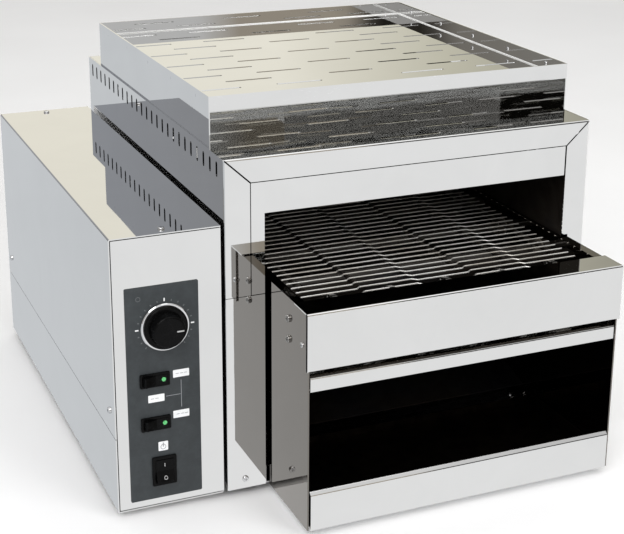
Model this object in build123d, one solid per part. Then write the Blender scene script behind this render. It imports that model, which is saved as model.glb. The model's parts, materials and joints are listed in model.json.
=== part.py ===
from build123d import *
import math
import os

os.makedirs("parts", exist_ok=True)

# A countertop conveyor oven. Sizes are in millimetres. The oven stands on z = 0.
# While it is modelled, x runs from the left side of the control box to the right side
# of the oven body, y runs back from the front face of the body, and z runs up.
# save() moves every piece to the frame of the finished part.

# ---- driving dimensions ----------------------------------------------------------------
SHEET = 1.2                 # stainless sheet of the casings
PLATE = 1.5                 # plate of the conveyor side frames
BEND = 2.0                  # outer radius of a folded corner
FOOT_H = 8.0

WIDTH = 530.0               # control box, gap and oven body
DEPTH = 510.0               # body and control box, front face to rear face
REACH = 105.0               # how far the front extension stands out of the body
BOX_W = 112.0
BOX_H = 290.0
BOX_SEAM = 81.0
BODY_GAP = 4.0
BODY_H = 355.0
BODY_SEAM = 212.0

FRAME_SIDE = 27.0           # front frame: side flanges and top flange
FRAME_TOP = 25.0
PANEL_GAP = 0.9                 # between the front flanges and the panel inside them
MOUTH_GAP = 1.8                 # at the right end of that panel
LINER_FRONT = 16.5              # front edge of the tunnel's left wall
MITRE_GAP = 2.0             # upright width of the gap at a mitred corner
MOUTH_LEFT = 42.0           # inset of the mouth from the body's left side
MOUTH_TOP = 297.0

EXT_LEFT = 44.0             # inset of the front cover from the body's left and right sides
EXT_RIGHT = 20.0
EXT_H = 229.0
EXT_RIM = 10.0              # inward flanges on top of the conveyor's side plates
COVER_OUT = 1.5             # how far the cover's side returns stand out of the plates
COVER_BOTTOM = 170.0
COVER_LEDGE = 33.0          # depth of the cover's top ledge
COVER_RETURN = 15.0         # depth of its side returns
STRIP_BOTTOM = 147.0
LIP_H = 43.0

RACK_INSET = 2.0
RACK_FRONT = 47.0
RACK_SIZE = 410.0
RACK_TOP = 407.0
RACK_RIM = 16.0             # height of the rim above the shelf
SHELF_SLOT = (52.5, 4.4)    # length and width
SHELF_ROWS = 13
SHELF_PITCH = 30.0

BELT_PITCH = 12.7
BELT_WIRE = 1.6
BELT_TEETH = 12             # teeth of the belt sprockets
BELT_SPAN = 36              # pitches between the two shafts
BELT_W = 313.0
BELT_LANES = 5              # straight lanes between the Z-bends of each wire
BELT_STEP = 0.17            # half of a wire's sideways step at a Z-bend, in pitches
IDLER_Y = -55.0
SHAFT_H = 197.0
SHAFT_R = 6.0
RUNNING = 0.05              # radial clearance of a running fit

CHAIN_PITCH = 8.0
CHAIN_ROLLER = 2.5          # roller radius
MOTOR_TEETH = 12
SHAFT_TEETH = 16

OVERLAY = (13.5, 88.0, 9.0, 238.0)      # left, right, bottom and top on the box front
OVERLAY_T = 0.8
KNOB_X, KNOB_H = 53.2, 194.0
SMALL_SWITCH = (30.4, 14.4)
MAIN_SWITCH = (25.0, 31.6)
HEAT_SWITCH_X = 41.2
HEAT_SWITCH_H = (139.5, 92.5)
MAIN_SWITCH_X, MAIN_SWITCH_H = 48.6, 39.3

GLAND_OUT = 18.0            # how far the cable gland stands out behind the box

# ---- places worked out from them -------------------------------------------------------
Z0 = FOOT_H                                 # underside of the casings
XB = BOX_W + BODY_GAP                       # left side of the body
XR = WIDTH                                  # right side of the body
XE0 = XB + EXT_LEFT + COVER_OUT             # outer faces of the conveyor's side plates
XE1 = XR - EXT_RIGHT - COVER_OUT
XI0 = XE0 + PLATE                           # inner faces of the same plates
XI1 = XE1 - PLATE
TOP = Z0 + BODY_H
EXT_TOP = Z0 + EXT_H
RIM_TOP = EXT_TOP - SHEET - 0.1             # top of the side plates, under the cover
MOUTH_Z = Z0 + MOUTH_TOP
SHAFT_Z = Z0 + SHAFT_H
BELT_R = BELT_PITCH / (2 * math.sin(math.pi / BELT_TEETH))
DRIVE_Y = IDLER_Y + BELT_SPAN * BELT_PITCH
BELT_X0 = XB + 62.0
BELT_X1 = BELT_X0 + BELT_W
LANE = BELT_W / BELT_LANES
SHELF_Z = Z0 + RACK_TOP - RACK_RIM
MIDDLE = (WIDTH / 2, (DEPTH + GLAND_OUT - REACH) / 2)
FEET = [(x, y) for x in (32.0, WIDTH - 32.0) for y in (80.0, DEPTH - 45.0)]


# ---- helpers ---------------------------------------------------------------------------
def save(name, *pieces):
    """Write one sub-part, moved to the frame of the finished part."""
    whole = pieces[0] if len(pieces) == 1 else Compound(children=list(pieces))
    shape = Pos(-MIDDLE[0], -MIDDLE[1], 0) * whole
    shape.label = name
    export_step(shape, f"parts/{name}.step")


def block(x0, x1, y0, y1, z0, z1):
    """A block between two corners."""
    centre = Pos((x0 + x1) / 2, (y0 + y1) / 2, (z0 + z1) / 2)
    return centre * Box(abs(x1 - x0), abs(y1 - y0), abs(z1 - z0))


def rod_x(radius, x0, x1, y, z):
    return Pos((x0 + x1) / 2, y, z) * Rot(0, 90, 0) * Cylinder(radius, abs(x1 - x0))


def rod_y(radius, y0, y1, x, z):
    return Pos(x, (y0 + y1) / 2, z) * Rot(90, 0, 0) * Cylinder(radius, abs(y1 - y0))


def rod_z(radius, z0, z1, x, y):
    return Pos(x, y, (z0 + z1) / 2) * Cylinder(radius, abs(z1 - z0))


def sheet_z(points, z0, z1, thickness=SHEET):
    """A folded sheet: the outer line in plan, with the thickness on its left side."""
    path = FilletPolyline(*points, radius=BEND) if len(points) > 2 else Polyline(*points)
    outline = offset(path, amount=thickness, side=Side.LEFT)
    return Pos(0, 0, z0) * extrude(make_face(outline), amount=z1 - z0)


def sheet_x(points, x0, x1, thickness=SHEET):
    """A folded sheet: the outer line in side view (y, z), thickness on its left side."""
    path = FilletPolyline(*points, radius=BEND) if len(points) > 2 else Polyline(*points)
    outline = Plane.YZ * make_face(offset(path, amount=thickness, side=Side.LEFT))
    return Pos(x0, 0, 0) * extrude(outline, amount=x1 - x0)


def sheet_y(points, y0, y1, thickness=SHEET):
    """A folded sheet: the outer line in front view (x, z), thickness on its left side."""
    path = FilletPolyline(*points, radius=BEND) if len(points) > 2 else Polyline(*points)
    outline = Plane.XZ * make_face(offset(path, amount=thickness, side=Side.LEFT))
    return Pos(0, y0, 0) * extrude(outline, amount=-(y1 - y0))


def plate_y(points, y0, y1):
    """A flat plate with an outline in front view (x, z)."""
    return Pos(0, y0, 0) * extrude(Plane.XZ * make_face(Polyline(*points, close=True)), amount=-(y1 - y0))


def plate_x(points, x0, x1):
    """A flat plate with an outline in side view (y, z)."""
    return Pos(x0, 0, 0) * extrude(Plane.YZ * make_face(Polyline(*points, close=True)), amount=x1 - x0)


def slot_x(x0, x1, y, z, length, width):
    """A cutter for an upright round-ended slot in a side wall."""
    return Pos(x0, y, z) * extrude(Plane.YZ * Rot(0, 0, 90) * SlotOverall(length, width), amount=x1 - x0)


def screw(x, y, z, way, head_r=3.4, head_h=1.9, shank_r=1.7, shank=8.0):
    """A pan-head screw whose head stands on the surface at (x, y, z), facing way."""
    head = Cylinder(head_r, head_h, align=(Align.CENTER, Align.CENTER, Align.MIN))
    head = fillet(head.edges().sort_by(Axis.Z)[-1], head_h * 0.55)
    head -= Pos(0, 0, head_h - 0.5) * Box(0.8, head_r * 1.1, 1.2)
    head -= Pos(0, 0, head_h - 0.5) * Box(head_r * 1.1, 0.8, 1.2)
    body = head + Pos(0, 0, -shank / 2) * Cylinder(shank_r, shank)
    turn = {"+z": Rot(0, 0, 0), "-z": Rot(180, 0, 0), "-x": Rot(0, -90, 0),
            "+x": Rot(0, 90, 0), "-y": Rot(90, 0, 0), "+y": Rot(-90, 0, 0)}[way]
    return Pos(x, y, z) * turn * body


# ---- oven body: lower casing -----------------------------------------------------------
FLANGE_R = 14.0                 # inward flanges at the rear edge of the side walls
REAR_IN = SHEET + 0.2           # the rear panel lies inside those flanges
CORNER = SHEET + 0.9            # clear of the inside of a folded corner


def floor_pan():
    """Floor with a tongue under the collector tray, two ribs and upturned edges."""
    x0, x1 = XB + CORNER, XR - CORNER
    y0, y1 = CORNER, DEPTH - REAR_IN - SHEET - 0.2
    top = Z0 + SHEET
    pan = block(x0, x1, y0, y1, Z0, top) + block(XI0 + 0.2, XI1 - 0.2, 8 - REACH, y0, Z0, top)
    for x in (XI0 + 40, XI1 - 40):
        pan += block(x - 4, x + 4, 14 - REACH, 90, top, top + 1.6)
    pan += block(x1 - SHEET, x1, y0, y1, Z0, Z0 + 20)
    pan += block(x0, XE0 - 2, y0, y0 + SHEET, Z0, Z0 + 20)
    pan += block(XE1 + 2, x1, y0, y0 + SHEET, Z0, Z0 + 20)
    for x, y in FEET:
        pan -= rod_z(2.6, Z0 - 1, Z0 + 3, x, y)
    return pan


def base_side(left):
    """Lower side wall with its front and rear flanges, up to the seam."""
    low, high = Z0, Z0 + BODY_SEAM
    if left:
        plan = [(XB + FLANGE_R, DEPTH), (XB, DEPTH), (XB, 0), (XB + MOUTH_LEFT, 0)]
        return sheet_z(plan, low, high) - rod_x(12, XB - 1, XB + 3, DRIVE_Y, MOTOR_Z)
    return sheet_z([(XE1 + COVER_OUT + 0.3, 0), (XR, 0), (XR, DEPTH), (XR - FLANGE_R, DEPTH)], low, high)


def rear_panel():
    """Rear wall, vented near its top, inside the flanges of the side walls."""
    y1 = DEPTH - REAR_IN
    back = block(XB + CORNER, XR - CORNER, y1 - SHEET, y1, Z0 + SHEET, TOP - 17)
    for row in range(3):
        for column in range(9):
            place = Pos(XB + 47 + column * 40, y1, TOP - 45 - row * 14)
            back -= place * Rot(90, 0, 0) * extrude(SlotOverall(28, 4), amount=4, both=True)
    return back


# ---- oven body: upper casing -----------------------------------------------------------
VENTS = 25
VENT_SIZE = (15.5, 5.0)         # height and width of an upright vent
VENT_PITCH = 19.6


def mitre(side, above):
    """A cutter over or under the mitre line of a top front corner, side -1 left or 1 right."""
    x_out = XB if side < 0 else XR
    x_in = x_out - side * FRAME_SIDE
    slope = FRAME_TOP / FRAME_SIDE
    shift = -MITRE_GAP / 2 if above else MITRE_GAP / 2
    far = TOP + 40 if above else TOP - 60
    upper = (x_out + side * 6, TOP + slope * 6 + shift)
    lower = (x_in - side * 6, TOP - FRAME_TOP - slope * 6 + shift)
    line = [upper, lower]
    return plate_y(line + [(x_in - side * 6, far), (x_out + side * 6, far)], -1, BEND + 0.2)


def upper_side(left):
    """Upper side wall with a row of upright vents and a mitred front flange."""
    low = Z0 + BODY_SEAM + 0.6
    if left:
        wall = sheet_z([(XB + FLANGE_R, DEPTH), (XB, DEPTH), (XB, 0), (XB + FRAME_SIDE, 0)], low, TOP)
    else:
        wall = sheet_z([(XR - FRAME_SIDE, 0), (XR, 0), (XR, DEPTH), (XR - FLANGE_R, DEPTH)], low, TOP)
        wall -= block(XR - FRAME_SIDE - 1, XE1 + COVER_OUT + 0.3, -1, 3, low - 1, EXT_TOP + 0.3)
    x0 = XB - 1 if left else XR - 3
    for number in range(VENTS):
        wall -= slot_x(x0, x0 + 4, 20.5 + number * VENT_PITCH, TOP - 14, *VENT_SIZE)
    return wall - mitre(-1 if left else 1, True)


def top_panel():
    """Flat top with a mitred front flange and a rear flange."""
    outline = [(DEPTH - REAR_IN, TOP - 16), (DEPTH - REAR_IN, TOP), (0, TOP), (0, TOP - FRAME_TOP)]
    top = sheet_x(outline, XB + SHEET + 0.2, XR - SHEET - 0.2)
    return top - mitre(-1, False) - mitre(1, False)


def mouth_panel():
    """Inner front panel over the mouth and left of it, flush with the front flanges."""
    x0, x1 = XB + FRAME_SIDE + PANEL_GAP, XR - FRAME_SIDE - MOUTH_GAP
    left, low, high = XB + MOUTH_LEFT, Z0 + BODY_SEAM + PANEL_GAP, TOP - FRAME_TOP - PANEL_GAP
    outline = [(x0, low), (left, low), (left, MOUTH_Z), (x1, MOUTH_Z), (x1, high), (x0, high)]
    return plate_y(outline, 0, SHEET) + block(left, x1, 0, LINER_FRONT, MOUTH_Z, MOUTH_Z + SHEET)


# ---- tunnel ----------------------------------------------------------------------------
UPPER_TUBE_Y = (60.0, 160.0, 260.0, 360.0)
LOWER_TUBE_Y = (50.0, 130.0, 235.0, 320.0)
UPPER_TUBE_Z = Z0 + 315.0
LOWER_TUBE_Z = Z0 + 198.0
TUBE_R = 5.0
CAP_R = 8.0
LINER = 1.0                     # thickness of the tunnel's inner sheets
LINER_X0, LINER_X1 = XE0 + 0.5, XR - FRAME_SIDE + 1.5
LINER_TOP = TOP - 22.0
TUNNEL_END = 484.0


def tunnel_wall(left):
    """Tunnel wall that stands on a conveyor plate, with holes for the upper tubes."""
    x0 = LINER_X0 if left else LINER_X1 - LINER
    y0 = LINER_FRONT if left else 3.0
    wall = block(x0, x0 + LINER, y0, TUNNEL_END, RIM_TOP, LINER_TOP)
    for y in UPPER_TUBE_Y:
        wall -= rod_x(CAP_R, x0 - 1, x0 + 3, y, UPPER_TUBE_Z)
    return wall


def upper_reflector():
    outline = [(LINER_FRONT + 0.3, LINER_TOP - 14), (30, LINER_TOP), (470, LINER_TOP), (TUNNEL_END, LINER_TOP - 14)]
    return sheet_x(outline, LINER_X0 + LINER, LINER_X1 - LINER, LINER)


def lower_reflector():
    return block(XI0, XI1, 20, 355, Z0 + 180.5, Z0 + 180.5 + LINER)


def heat_shield():
    """Plate under the return side of the belt, over the exit chute."""
    return block(XI0, XI1, -20, 380, Z0 + 160, Z0 + 160 + LINER)


def heating_tubes(places, z, x0, x1):
    """Quartz tubes across the tunnel."""
    return [rod_x(TUBE_R, x0 + 9, x1 - 9, y, z) for y in places]


def tube_caps(places, z, x0, x1, wall):
    """Ceramic end caps through the walls, with a collar inside and a terminal outside."""
    caps = []
    for y in places:
        for x, way in ((x0, 1), (x1, -1)):
            cap = rod_x(CAP_R, x - way * 4, x + way * 12, y, z)
            cap += rod_x(CAP_R + 2.5, x + way * wall, x + way * (wall + 2), y, z)
            cap -= rod_x(TUBE_R, x + way * 9, x + way * 13, y, z)
            caps.append(cap + rod_x(2.0, x - way * 10, x - way * 3, y, z))
    return caps


# ---- exit chute and collector tray -----------------------------------------------------
CHUTE = ((66.0, Z0 + 22.0), (452.0, Z0 + 126.0))      # y and z of its two ends
DEFLECTOR_R = 34.0


def exit_chute():
    """Slide from under the rear end of the belt to the collector tray."""
    (y0, z0), (y1, z1) = CHUTE
    return plate_x([(y0, z0), (y1, z1), (y1, z1 + 1), (y0, z0 + 1)], XI0 + 0.2, XI1 - 0.2)


def rear_deflector():
    """Curved sheet behind the belt that turns the food down onto the chute."""
    bottom = CHUTE[1][1] + DEFLECTOR_R
    path = Line((TUNNEL_END - 2, RIM_TOP - SHEET - 0.5), (TUNNEL_END - 2, bottom))
    curve = JernArc(start=path @ 1, tangent=path % 1, radius=DEFLECTOR_R, arc_size=-72)
    outline = make_face(offset(path + curve, amount=1.0, side=Side.RIGHT))
    return Pos(XI0 + 0.2, 0, 0) * extrude(Plane.YZ * outline, amount=XI1 - XI0 - 0.4)


TRAY_X0, TRAY_X1 = XI0 + 1.3, XI1 - 1.3
TRAY_END = 58.0


def collector_tray():
    """Removable front tray: a lip with a sloped top fold, a floor and low walls."""
    front, top, floor = -REACH, Z0 + LIP_H, Z0 + 3.0
    lip = sheet_x([(front + 9, top - 9), (front + 5, top), (front, top - 4.5), (front, Z0 + 0.4)],
                  TRAY_X0, TRAY_X1)
    tray = lip + block(TRAY_X0, TRAY_X1, front + 0.6, TRAY_END, floor, floor + 1)
    for x in (TRAY_X0, TRAY_X1 - 1):
        tray += block(x, x + 1, front + SHEET, TRAY_END, floor, Z0 + 20)
    return tray + block(TRAY_X0, TRAY_X1, TRAY_END - 1, TRAY_END, floor, Z0 + 12)


# ---- front extension -------------------------------------------------------------------
BOLT_H = (206.5, 185.0)
COVER_SCREW = (-REACH + 12.5, Z0 + 194.0)


def conveyor_frame(left):
    """Side plate of the conveyor, from the front of the extension to the back of the tunnel."""
    outer, way = (XE0, 1) if left else (XE1, -1)
    inner = outer + way * PLATE
    front, inside = -REACH + SHEET + 1, Z0 + SHEET
    side = [(front, Z0), (-0.2, Z0), (-0.2, inside)]
    side += [(TUNNEL_END, inside), (TUNNEL_END, RIM_TOP), (front, RIM_TOP)]
    plate = plate_x(side, min(outer, inner), max(outer, inner))
    plate += block(outer, outer + way * EXT_RIM, front, TUNNEL_END, RIM_TOP - SHEET, RIM_TOP)
    if left:
        plate -= rod_x(7.5, outer - 1, inner + 1, DRIVE_Y, SHAFT_Z)
    for y in LOWER_TUBE_Y:
        plate -= rod_x(CAP_R, outer - way, inner + way, y, LOWER_TUBE_Z)
    return plate


def front_cover():
    """Upper front cover: face, top ledge, short bottom return and side returns."""
    low = Z0 + COVER_BOTTOM
    x0, x1 = XE0 - COVER_OUT, XE1 + COVER_OUT
    outline = [(-REACH + COVER_LEDGE, EXT_TOP), (-REACH, EXT_TOP), (-REACH, low), (-REACH + 9, low)]
    cover = sheet_x(outline, x0, x1)
    for x in (x0, x1 - SHEET):
        side = block(x, x + SHEET, -REACH + 0.6, -REACH + COVER_RETURN, low, EXT_TOP - 0.6)
        cover += side
    for x in (XE0, XI1):
        cover -= block(x - 0.3, x + PLATE + 0.3, -REACH + SHEET + 0.4, -REACH + 20, low - 1, low + 3)
    return cover


def chute_strip():
    """Folded strip under the cover, set back, with a top that slopes up and back."""
    y = -REACH + 2.5
    high, low = Z0 + COVER_BOTTOM, Z0 + STRIP_BOTTOM
    return sheet_x([(y + 12, high - 3), (y, high - 8), (y, low), (y + 12, low)], XI0 + 1.3, XI1 - 1.3)


# ---- conveyor --------------------------------------------------------------------------
def lane_centres():
    return [BELT_X0 + (number + 0.5) * LANE for number in range(BELT_LANES)]


def belt_wire():
    """One wire across the belt: straight lanes joined by Z-bends, along x at the origin."""
    step = BELT_STEP * BELT_PITCH
    half = 2.4
    points = [(BELT_X0, -step)]
    for number in range(1, BELT_LANES):
        sign = -1 if number % 2 else 1
        x = BELT_X0 + number * LANE
        points += [(x - half, sign * step), (x + half, -sign * step)]
    last = -1 if BELT_LANES % 2 else 1
    points.append((BELT_X1, last * step))
    path = Polyline(*points)
    start = Plane(origin=path @ 0, z_dir=path % 0)
    return sweep(start * Circle(BELT_WIRE / 2), path=path, transition=Transition.RIGHT)


def conveyor_belt():
    """Endless wire belt: the same wire copied at each pitch round both sprockets."""
    wire = belt_wire()
    wires = []
    for number in range(BELT_SPAN + 1):
        y = IDLER_Y + number * BELT_PITCH
        wires.append(Pos(0, y, SHAFT_Z + BELT_R) * wire)
        wires.append(Pos(0, y, SHAFT_Z - BELT_R) * Rot(180, 0, 0) * wire)
    tooth = 360 / BELT_TEETH
    for number in range(1, BELT_TEETH // 2):
        wires.append(Pos(0, DRIVE_Y, SHAFT_Z) * Rot(-number * tooth, 0, 0) * Pos(0, 0, BELT_R) * wire)
        wires.append(Pos(0, IDLER_Y, SHAFT_Z) * Rot(number * tooth, 0, 0) * Pos(0, 0, BELT_R) * wire)
    return wires


TOOTH_TIP = 1.1                 # how far the teeth pass the wires' centres
GROOVE_R = 1.35


def belt_sprocket(x, lane):
    """Toothed disc whose grooves hold the wires of one lane, centred on the x axis."""
    shift = math.degrees(BELT_STEP * BELT_PITCH / BELT_R) * (1 if lane % 2 else -1)
    disc = rod_x(BELT_R + TOOTH_TIP, x - 3, x + 3, 0, 0) + rod_x(10.5, x - 7, x + 7, 0, 0)
    for tooth in range(BELT_TEETH):
        turn = Rot(tooth * 360 / BELT_TEETH - shift, 0, 0)
        disc -= turn * rod_x(GROOVE_R, x - 4, x + 4, 0, BELT_R)
        disc -= turn * block(x - 4, x + 4, -GROOVE_R, GROOVE_R, BELT_R, BELT_R + 4)
    return disc - rod_x(SHAFT_R, x - 8, x + 8, 0, 0)


def shaft_set(y):
    """The belt sprockets of one shaft and the two collars that keep it in place."""
    pieces = [belt_sprocket(x, lane) for lane, x in enumerate(lane_centres())]
    for x in (XI0 + BLOCK_T + 0.6, XI1 - BLOCK_T - 8.6):
        pieces.append(rod_x(11, x, x + 8, 0, 0) - rod_x(SHAFT_R, x - 1, x + 9, 0, 0))
    return [Pos(0, y, SHAFT_Z) * piece for piece in pieces]


def shaft(y, x0, x1):
    """Plain shaft with a chamfer on both ends."""
    bar = rod_x(SHAFT_R, x0, x1, y, SHAFT_Z)
    return chamfer(bar.edges().filter_by(GeomType.CIRCLE), 0.8)


BLOCK_T = 10.0                  # thickness of a bearing block
DRIVE_BOLT_GAP = 13.0           # the drive bearings' screws, above and below their shaft


def bolt_heights(y):
    """Heights of the two screws of a bearing."""
    if y == DRIVE_Y:
        return [SHAFT_Z + DRIVE_BOLT_GAP, SHAFT_Z - DRIVE_BOLT_GAP]
    return [Z0 + h for h in BOLT_H]


def bearing(y, left):
    """Bearing block on the inside of a conveyor plate; only the drive shaft passes one."""
    face, way = (XI0, 1) if left else (XI1, -1)
    middle = sum(bolt_heights(y)) / 2
    profile = Plane.YZ * RectangleRounded(24, 34, 5)
    bearing_block = Pos(face, y, middle) * extrude(profile, amount=way * BLOCK_T)
    bore_from = face + way * 2
    if left and y == DRIVE_Y:
        bearing_block += rod_x(7.5, face - PLATE, face + 1, y, SHAFT_Z)
        bore_from = face - way * 3
    bearing_block -= rod_x(SHAFT_R + RUNNING, bore_from, face + way * (BLOCK_T + 1), y, SHAFT_Z)
    for z in bolt_heights(y):
        bearing_block -= rod_x(2.0, face - way, face + way * 8, y, z)
    return bearing_block


def bearing_bolts():
    """Screws that hold the four bearing blocks to the conveyor plates."""
    bolts = []
    for y in (IDLER_Y, DRIVE_Y):
        for z in bolt_heights(y):
            bolts.append(screw(XE0, y, z, "-x", 3.8, 2.6, 2.0, 9.5))
            bolts.append(screw(XE1, y, z, "+x", 3.8, 2.6, 2.0, 9.5))
    return bolts


RAIL_R = 2.5
RAIL_Z = SHAFT_Z + BELT_R - BELT_WIRE / 2 - 0.1 - RAIL_R
CROSSBAR_Y = (-12.0, 182.0, 360.0)


def belt_support():
    """Round rails under the loaded side of the belt, lying on flat crossbars."""
    top = RAIL_Z - RAIL_R
    parts = [block(XI0, XI1, y - 7.5, y + 7.5, top - 3, top) for y in CROSSBAR_Y]
    for number in range(BELT_LANES + 1):
        x = BELT_X0 + 12 + number * (BELT_W - 24) / BELT_LANES
        parts.append(rod_y(RAIL_R, IDLER_Y + 34, DRIVE_Y - 34, x, RAIL_Z))
    return parts


# ---- drive -----------------------------------------------------------------------------
MOTOR_R = CHAIN_PITCH / (2 * math.sin(math.pi / MOTOR_TEETH))
WHEEL_R = CHAIN_PITCH / (2 * math.sin(math.pi / SHAFT_TEETH))
SPAN_LINKS = 12                 # pitches in each straight run of the chain
CHAIN_X = XB + 18.0
CHAIN_T = 2.8                   # sprocket thickness
CENTRES = math.sqrt((SPAN_LINKS * CHAIN_PITCH) ** 2 - (WHEEL_R - MOTOR_R) ** 2)
MOTOR_Z = SHAFT_Z - CENTRES
MOTOR_SHAFT_R = 4.0


def chain_sprocket(radius, teeth, bore):
    """Roller chain sprocket on the x axis, with a gap between two teeth at its top."""
    tip = radius + 1.6
    seat = CHAIN_ROLLER + 0.15
    x0, x1 = CHAIN_X - CHAIN_T / 2, CHAIN_X + CHAIN_T / 2
    wheel = rod_x(tip, x0, x1, 0, 0) + rod_x(bore + 3.2, CHAIN_X, CHAIN_X + 8, 0, 0)
    flare = [(-seat, radius), (seat, radius), (seat + 1.6, tip + 0.6), (-seat - 1.6, tip + 0.6)]
    for tooth in range(teeth):
        turn = Rot(tooth * 360 / teeth, 0, 0)
        wheel -= turn * rod_x(seat, x0 - 1, x1 + 0.01, 0, radius)
        wheel -= turn * plate_x(flare, x0 - 1, x1 + 0.01)
    return wheel


def shaft_sprocket():
    wheel = chain_sprocket(WHEEL_R, SHAFT_TEETH, SHAFT_R) - rod_x(SHAFT_R, CHAIN_X - 9, CHAIN_X + 9, 0, 0)
    return Pos(0, DRIVE_Y, SHAFT_Z) * wheel


def motor_sprocket():
    """Output shaft of the gear motor with its chain sprocket."""
    wheel = chain_sprocket(MOTOR_R, MOTOR_TEETH, MOTOR_SHAFT_R)
    wheel += rod_x(MOTOR_SHAFT_R, GEAR_X1 - 28, CHAIN_X + 10, 0, 0)
    return Pos(0, DRIVE_Y, MOTOR_Z) * wheel


def on_circle(radius, z, degrees):
    angle = math.radians(degrees)
    return (DRIVE_Y + radius * math.cos(angle), z + radius * math.sin(angle))


def between(start, end, parts):
    """The points that divide a straight run into equal parts, without its ends."""
    shares = [number / parts for number in range(1, parts)]
    return [(start[0] + (end[0] - start[0]) * s, start[1] + (end[1] - start[1]) * s) for s in shares]


def chain_points():
    """Roller centres round both sprockets, in y and z."""
    top = [on_circle(WHEEL_R, SHAFT_Z, 180 - k * 360 / SHAFT_TEETH) for k in range(SHAFT_TEETH // 2 + 1)]
    low = [on_circle(MOTOR_R, MOTOR_Z, -k * 360 / MOTOR_TEETH) for k in range(MOTOR_TEETH // 2 + 1)]
    return top + between(top[-1], low[0], SPAN_LINKS) + low + between(low[-1], top[0], SPAN_LINKS)


def drive_chain():
    """Rollers with their pins, and link plates on both sides in two layers."""
    points = chain_points()
    pieces = []
    inner = CHAIN_T / 2 + 0.3
    for number, (y, z) in enumerate(points):
        roller = rod_x(CHAIN_ROLLER, CHAIN_X - inner, CHAIN_X + inner, y, z)
        pieces.append(roller + rod_x(1.1, CHAIN_X - inner - 2.2, CHAIN_X + inner + 2.2, y, z))
        y2, z2 = points[(number + 1) % len(points)]
        layer = inner + (0.1 if number % 2 else 1.0)
        tilt = math.degrees(math.atan2(z2 - z, y2 - y))
        outline = Plane.YZ * Rot(0, 0, tilt) * SlotCenterToCenter(CHAIN_PITCH, 5.4)
        for x in (CHAIN_X + layer, CHAIN_X - layer - 0.8):
            link = Pos(x, (y + y2) / 2, (z + z2) / 2) * extrude(outline, amount=0.8)
            link -= rod_x(1.1, CHAIN_X - 6, CHAIN_X + 6, y, z)
            pieces.append(link - rod_x(1.1, CHAIN_X - 6, CHAIN_X + 6, y2, z2))
    return pieces


GEAR_X0, GEAR_X1 = 66.0, BOX_W - SHEET - 4


def gear_motor():
    """Gearbox on the inner wall of the control box, with the motor beside it."""
    gearbox = block(GEAR_X0, GEAR_X1, DRIVE_Y - 32, DRIVE_Y + 32, MOTOR_Z - 38, MOTOR_Z + 30)
    body = fillet(gearbox.edges().filter_by(Axis.X), 6)
    body += rod_x(28, 14, GEAR_X0 + 1, DRIVE_Y, MOTOR_Z - 8) + rod_x(12, 9, 15, DRIVE_Y, MOTOR_Z - 8)
    for dy in (-24, 24):
        for dz in (-30, 22):
            body += rod_x(4.0, GEAR_X1 - 1, BOX_W - SHEET, DRIVE_Y + dy, MOTOR_Z + dz)
    return body - rod_x(MOTOR_SHAFT_R + RUNNING, GEAR_X1 - 30, GEAR_X1 + 1, DRIVE_Y, MOTOR_Z)


# ---- control box -----------------------------------------------------------------------
BOX_TOP = Z0 + BOX_H
BOX_IN = SHEET + 0.9            # panels inside the folded covers
FAN_X, FAN_Z = BOX_W / 2, Z0 + 235.0
GLAND_X, GLAND_Z = BOX_W / 2, Z0 + 45.0


def box_base():
    """Floor and lower left side of the control box, up to the seam."""
    outline = [(0, Z0 + BOX_SEAM), (0, Z0), (BOX_W - SHEET - 0.2, Z0)]
    base = sheet_y(outline, 0, DEPTH)
    for x, y in FEET:
        base -= rod_z(2.6, Z0 - 1, Z0 + 3, x, y)
    return base


def box_cover():
    """Upper left side and top of the control box."""
    return sheet_y([(BOX_W, BOX_TOP), (0, BOX_TOP), (0, Z0 + BOX_SEAM + 0.6)], 0, DEPTH)


def box_inner_wall():
    """Right side of the control box, next to the oven body."""
    wall = block(BOX_W - SHEET, BOX_W, SHEET + 0.1, DEPTH - SHEET - 0.1, Z0, BOX_TOP - SHEET - 0.1)
    return wall - rod_x(12, BOX_W - 3, BOX_W + 1, DRIVE_Y, MOTOR_Z)


def box_end_panel(front):
    """Front or rear panel of the control box with a fold along its top and its left side."""
    y0, y1 = (0, SHEET) if front else (DEPTH - SHEET, DEPTH)
    fold = (SHEET, 28) if front else (DEPTH - 28, DEPTH - SHEET)
    panel = block(BOX_IN, BOX_W, y0, y1, Z0 + BOX_IN, BOX_TOP - BOX_IN)
    panel += block(BOX_IN, BOX_W - 4, *fold, BOX_TOP - BOX_IN - SHEET, BOX_TOP - BOX_IN)
    return panel + block(BOX_IN, BOX_IN + SHEET, *fold, Z0 + BOX_SEAM, BOX_TOP - BOX_IN)


def control_holes(depth):
    """Cutters through the front for the switches and the potentiometer."""
    cutters = [rod_y(5.0, -depth, depth, KNOB_X, Z0 + KNOB_H)]
    for h in HEAT_SWITCH_H:
        z = Z0 + h
        cutters.append(block(HEAT_SWITCH_X - 14.2, HEAT_SWITCH_X + 14.2, -depth, depth, z - 6.2, z + 6.2))
    low, high = Z0 + MAIN_SWITCH_H - 14.5, Z0 + MAIN_SWITCH_H + 14.5
    cutters.append(block(MAIN_SWITCH_X - 11, MAIN_SWITCH_X + 11, -depth, depth, low, high))
    return cutters


def box_rear():
    """Rear panel of the control box with the fan grille and the gland hole."""
    panel = box_end_panel(False)
    for row in range(9):
        height = row * 8 - 32
        half = math.sqrt(36 ** 2 - height ** 2)
        place = Pos(FAN_X, DEPTH, FAN_Z + height)
        panel -= place * Rot(90, 0, 0) * extrude(SlotOverall(2 * half, 4), amount=4, both=True)
    return panel - rod_y(10.0, DEPTH - 4, DEPTH + 4, GLAND_X, GLAND_Z)


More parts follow.
